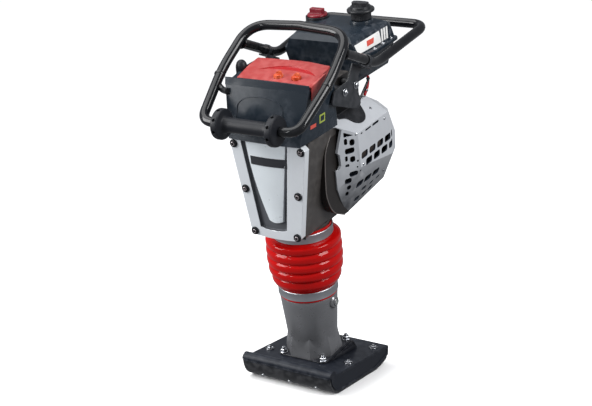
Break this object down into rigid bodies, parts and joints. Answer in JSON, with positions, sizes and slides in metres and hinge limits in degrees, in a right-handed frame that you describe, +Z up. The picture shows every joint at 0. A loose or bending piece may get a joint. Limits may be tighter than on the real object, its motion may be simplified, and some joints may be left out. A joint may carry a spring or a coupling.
{
  "type": "tamping rammer",
  "caption": "Petrol tamping rammer: a tilted spring leg on a flat shoe, ribbed bellows, crankcase, shrouded engine, fuel tank, air filter box and two tubular handle loops.",
  "frame": {"origin": "middle of the flat sole's underside, on the ground", "axes": "+Z up, +X across the machine, -Y towards the front loop and roller; the leg leans 11.8 degrees forwards about X"},
  "size_m": [0.3508, 0.6801, 1.0275],
  "materials": {
    "shoe": "satin",
    "sole_steel": "satin",
    "cast_iron": "satin",
    "cast_grey": "satin",
    "zinc": "satin",
    "spring_steel": "satin",
    "chromed": "polished",
    "bronze": "satin",
    "red_rubber": "satin",
    "case_dark": "satin",
    "cover_silver": "satin",
    "gasket": "matte",
    "engine_alloy": "satin",
    "muffler_steel": "matte",
    "drum_iron": "satin",
    "shroud_silver": "satin",
    "slate_plastic": "satin",
    "black_plastic": "satin",
    "black_paint": "gloss",
    "red_plastic": "satin",
    "orange_plastic": "satin",
    "hose_red": "satin",
    "paper": "matte",
    "clear_glass": "polished"
  },
  "bodies": {
    "upper": {"crankcase": "case_dark", "front_cover": "cover_silver", "cover_gasket": "gasket", "guide_tube": "bronze", "bellows": "red_rubber", "upper_clamp": "zinc", "engine_block": "engine_alloy", "muffler": "muffler_steel", "carburettor": "engine_alloy", "engine_shroud": "shroud_silver", "recoil_housing": "black_plastic", "fuel_tank": "slate_plastic", "fuel_hose": "hose_red", "side_bracket_left": "black_paint", "side_bracket_right": "black_paint", "front_loop": "black_paint", "rear_loop": "black_paint", "filter_housing": "slate_plastic", "filter_element": "paper", "intake_cap": "black_plastic", "cover_screw_left_1": "zinc", "cover_screw_left_2": "zinc", "cover_screw_left_3": "zinc", "rubber_mount_left_1": "gasket", "rubber_mount_left_2": "gasket", "cover_screw_right_1": "zinc", "cover_screw_right_2": "zinc", "cover_screw_right_3": "zinc", "rubber_mount_right_1": "gasket", "rubber_mount_right_2": "gasket"},
    "foot": {"sole_plate": "sole_steel", "shoe_body": "shoe", "foot_wedge": "cast_iron", "spring_cylinder": "cast_grey", "sight_glass": "clear_glass", "lower_clamp": "zinc", "lower_spring": "spring_steel", "upper_spring": "spring_steel", "shoe_bolt_1": "zinc", "shoe_bolt_2": "zinc", "shoe_bolt_3": "zinc", "shoe_bolt_4": "zinc", "flange_nut_1": "zinc", "flange_nut_2": "zinc", "flange_nut_3": "zinc", "flange_nut_4": "zinc"},
    "piston": {"piston_rod": "chromed", "wrist_pin": "zinc"},
    "con_rod": {"connecting_rod": "spring_steel"},
    "crank": {"crank_gear": "spring_steel"},
    "clutch": {"clutch_drum": "drum_iron"},
    "engine_shaft": {"crankshaft": "spring_steel", "flywheel": "engine_alloy"},
    "roller": {"front_roller": "black_plastic"},
    "cap": {"fuel_cap": "black_plastic"},
    "lever": {"throttle_lever": "red_plastic"},
    "lid": {"filter_lid": "red_plastic"},
    "knob_left": {"lid_knob_left": "orange_plastic"},
    "knob_right": {"lid_knob_right": "orange_plastic"},
    "grip": {"recoil_grip": "black_plastic"}
  },
  "joints": [
    {"name": "ram_stroke", "type": "slide", "parent": "upper", "child": "foot", "axis": [0, 0.2045, -0.9789], "range_m": [0, 0.066], "deforming": ["bellows"]},
    {"name": "spring_travel", "type": "slide", "parent": "foot", "child": "piston", "axis": [0, -0.2045, 0.9789], "range_m": [-0.015, 0.015], "stiffness_N_per_m": 95000, "deforming": ["lower_spring", "upper_spring"]},
    {"name": "con_rod_swing", "type": "hinge", "parent": "piston", "child": "con_rod", "pos_m": [0, -0.10102, 0.48356], "axis": [0, 0.9789, 0.2045], "range_deg": [-18, 18]},
    {"name": "crank_spin", "type": "hinge", "parent": "upper", "child": "crank", "pos_m": [0, -0.11697, 0.55991], "axis": [0, 0.9789, 0.2045], "continuous": true},
    {"name": "pinion_spin", "type": "hinge", "parent": "upper", "child": "clutch", "pos_m": [0, -0.13262, 0.6348], "axis": [0, 0.9789, 0.2045], "continuous": true},
    {"name": "engine_spin", "type": "hinge", "parent": "upper", "child": "engine_shaft", "pos_m": [0, 0.06316, 0.6757], "axis": [0, 0.9789, 0.2045], "continuous": true},
    {"name": "roller_spin", "type": "hinge", "parent": "upper", "child": "roller", "pos_m": [0, -0.35493, 0.75027], "axis": [1, 0, 0], "continuous": true},
    {"name": "cap_turn", "type": "hinge", "parent": "upper", "child": "cap", "pos_m": [0.06, 0.09654, 0.98046], "axis": [0, -0.2045, 0.9789], "range_deg": [0, 90]},
    {"name": "lever_turn", "type": "hinge", "parent": "upper", "child": "lever", "pos_m": [-0.08, 0.10143, 0.98148], "axis": [0, -0.2045, 0.9789], "range_deg": [0, 90]},
    {"name": "lid_lift", "type": "slide", "parent": "upper", "child": "lid", "axis": [0, -0.2045, 0.9789], "range_m": [0, 0.05]},
    {"name": "knob_left_turn", "type": "hinge", "parent": "lid", "child": "knob_left", "pos_m": [0.012, -0.2353, 0.85247], "axis": [0, -0.2045, 0.9789], "range_deg": [0, 90]},
    {"name": "knob_right_turn", "type": "hinge", "parent": "lid", "child": "knob_right", "pos_m": [0.065, -0.2353, 0.85247], "axis": [0, -0.2045, 0.9789], "range_deg": [0, 90]},
    {"name": "recoil_pull", "type": "slide", "parent": "upper", "child": "grip", "axis": [0, 0.9789, 0.2045], "range_m": [0, 0.5]}
  ],
  "couplings": [
    {"joint": "pinion_spin", "follows": "crank_spin", "ratio": -3.6364}
  ]
}
